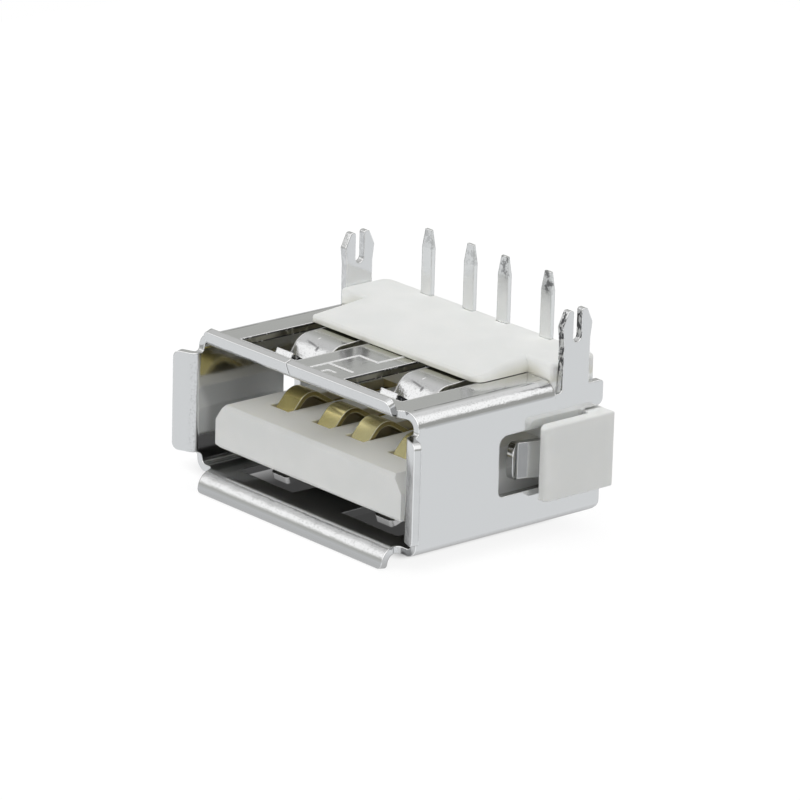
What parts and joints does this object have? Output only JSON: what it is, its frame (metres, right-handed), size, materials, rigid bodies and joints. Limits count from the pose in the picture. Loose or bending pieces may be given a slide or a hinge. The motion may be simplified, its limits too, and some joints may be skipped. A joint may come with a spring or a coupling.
{
  "type": "usb-a socket",
  "caption": "Right-angle through-hole socket: folded metal shell with a flared mouth and spring fingers, white insulator with a tongue, and bent contact strips ending in board pins.",
  "frame": {"origin": "bottom centre of the whole socket's box, board side up", "axes": "+Z out of the board side, the way the pins point; the mouth faces -Y; +X to the right seen from the mouth"},
  "size_m": [0.0146, 0.0102, 0.0095],
  "materials": {
    "nickel_plate": "bright nickel plate over stamped steel",
    "white_plastic": "white moulded thermoplastic, satin",
    "contact_metal": "gold-plated spring, tinned pin"
  },
  "bodies": {
    "root": {"shell": "nickel_plate", "insulator": "white_plastic", "power_contact": "contact_metal", "data_minus_contact": "contact_metal", "data_plus_contact": "contact_metal", "ground_contact": "contact_metal"}
  },
  "joints": []
}
